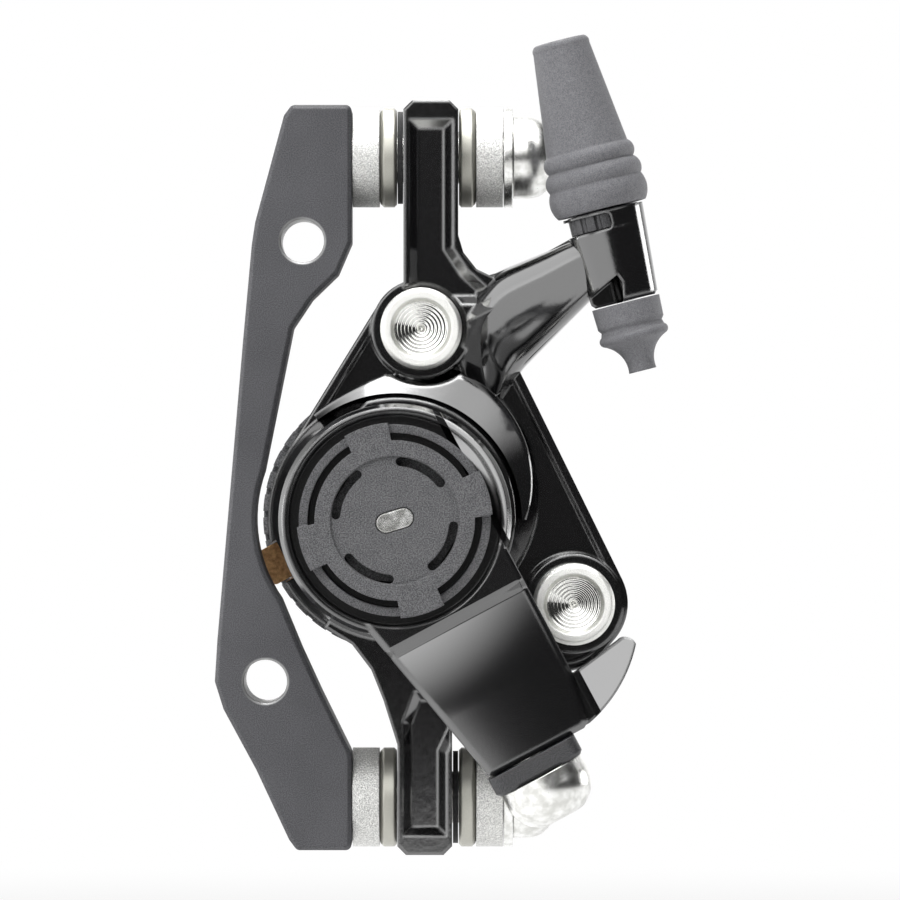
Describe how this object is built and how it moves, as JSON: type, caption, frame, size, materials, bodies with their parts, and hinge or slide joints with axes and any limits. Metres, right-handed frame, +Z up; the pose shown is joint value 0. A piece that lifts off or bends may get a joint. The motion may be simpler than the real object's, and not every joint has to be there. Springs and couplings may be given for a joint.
{
  "type": "mechanical disc brake caliper",
  "caption": "Cable-pulled bicycle disc brake caliper on its frame bracket, with dished washers, ball-ramp arm, pad dials and booted cable stop.",
  "frame": {"origin": "midway between the two frame bolt holes, on the bracket's outboard mounting face", "axes": "+X away from the frame tabs, +Z up, +Y inboard, towards the rotor and the wheel"},
  "size_m": [0.0521, 0.0554, 0.094],
  "materials": {
    "bracket_coat": "matte black anodised casting",
    "gloss_black": "gloss black painted aluminium casting",
    "zinc_steel": "bright plated steel",
    "blasted_aluminium": "bead-blasted aluminium",
    "satin_steel": "satin stainless steel",
    "dark_plastic": "textured black nylon",
    "dark_steel": "black oxide steel",
    "grey_rubber": "matte grey rubber",
    "black_rubber": "black rubber",
    "hard_steel": "hardened ground steel",
    "copper_plate": "copper-washed steel plate",
    "friction": "sintered friction material",
    "spring_steel": "spring steel"
  },
  "bodies": {
    "root": {"mount_bracket": "bracket_coat", "outboard_housing": "gloss_black", "inboard_housing": "gloss_black", "body_bolts": "zinc_steel", "post_bolts": "zinc_steel", "flat_washers": "zinc_steel", "concave_washers": "blasted_aluminium", "convex_washers": "satin_steel", "retaining_rings": "black_rubber", "thrust_washer": "hard_steel", "dust_seal": "black_rubber", "return_spring": "spring_steel", "pad_spring": "spring_steel", "nozzle_boot": "grey_rubber"},
    "arm": {"actuator_arm": "gloss_black", "arm_nut": "zinc_steel", "drive_ramp": "hard_steel", "ramp_balls": "hard_steel", "cable_clamp_plate": "dark_steel", "cable_clamp_bolt": "zinc_steel"},
    "pressure_ramp": {"pressure_ramp": "hard_steel"},
    "outboard_pad": {"outboard_foot": "hard_steel", "outboard_pad_plate": "copper_plate", "outboard_pad_lining": "friction"},
    "outboard_screw": {"outboard_foot_screw": "zinc_steel"},
    "outboard_dial": {"outboard_dial": "dark_plastic"},
    "inboard_pad": {"inboard_foot": "hard_steel", "inboard_pad_plate": "copper_plate", "inboard_pad_lining": "friction"},
    "inboard_screw": {"inboard_foot_screw": "zinc_steel"},
    "inboard_dial": {"inboard_dial": "dark_plastic"},
    "adjuster_boot": {"housing_boot": "grey_rubber"},
    "barrel_adjuster": {"barrel_adjuster": "dark_steel"}
  },
  "joints": [
    {"name": "arm_swing", "type": "hinge", "parent": "root", "child": "arm", "pos_m": [0.0129, 0, -0.0067], "axis": [0, -1, 0], "range_deg": [0, 36], "stiffness_Nm_per_rad": 0.05, "springref_deg": -11.46},
    {"name": "ramp_advance", "type": "slide", "parent": "root", "child": "pressure_ramp", "axis": [0, 1, 0], "range_m": [0, 0.00161]},
    {"name": "outboard_dial_turn", "type": "hinge", "parent": "root", "child": "outboard_dial", "pos_m": [0.0129, 0, -0.0067], "axis": [0, 1, 0], "range_deg": [0, 630]},
    {"name": "outboard_pad_advance", "type": "slide", "parent": "pressure_ramp", "child": "outboard_pad", "axis": [0, 1, 0], "range_m": [0, 0.00175]},
    {"name": "outboard_screw_turn", "type": "hinge", "parent": "outboard_pad", "child": "outboard_screw", "pos_m": [0.0129, 0, -0.0067], "axis": [0, 1, 0], "range_deg": [-1, 631]},
    {"name": "inboard_dial_turn", "type": "hinge", "parent": "root", "child": "inboard_dial", "pos_m": [0.0129, 0, -0.0067], "axis": [0, -1, 0], "range_deg": [0, 630]},
    {"name": "inboard_pad_advance", "type": "slide", "parent": "root", "child": "inboard_pad", "axis": [0, -1, 0], "range_m": [0, 0.00175]},
    {"name": "inboard_screw_turn", "type": "hinge", "parent": "inboard_pad", "child": "inboard_screw", "pos_m": [0.0129, 0, -0.0067], "axis": [0, -1, 0], "range_deg": [-1, 631]},
    {"name": "adjuster_travel", "type": "slide", "parent": "root", "child": "adjuster_boot", "axis": [-0.2453, 0, 0.9694], "range_m": [0, 0.004]},
    {"name": "adjuster_turn", "type": "hinge", "parent": "adjuster_boot", "child": "barrel_adjuster", "pos_m": [0.03658, -0.0094, 0.02848], "axis": [-0.2453, 0, 0.9694], "range_deg": [0, 1440]}
  ],
  "couplings": [
    {"joint": "ramp_advance", "follows": "arm_swing", "m_per_rad": 0.0025465},
    {"joint": "outboard_dial_turn", "follows": "outboard_pad_advance", "rad_per_m": 6283.2},
    {"joint": "outboard_screw_turn", "follows": "outboard_pad_advance", "rad_per_m": 6283.2},
    {"joint": "inboard_dial_turn", "follows": "inboard_pad_advance", "rad_per_m": 6283.2},
    {"joint": "inboard_screw_turn", "follows": "inboard_pad_advance", "rad_per_m": 6283.2},
    {"joint": "adjuster_turn", "follows": "adjuster_travel", "rad_per_m": 6283.2}
  ]
}
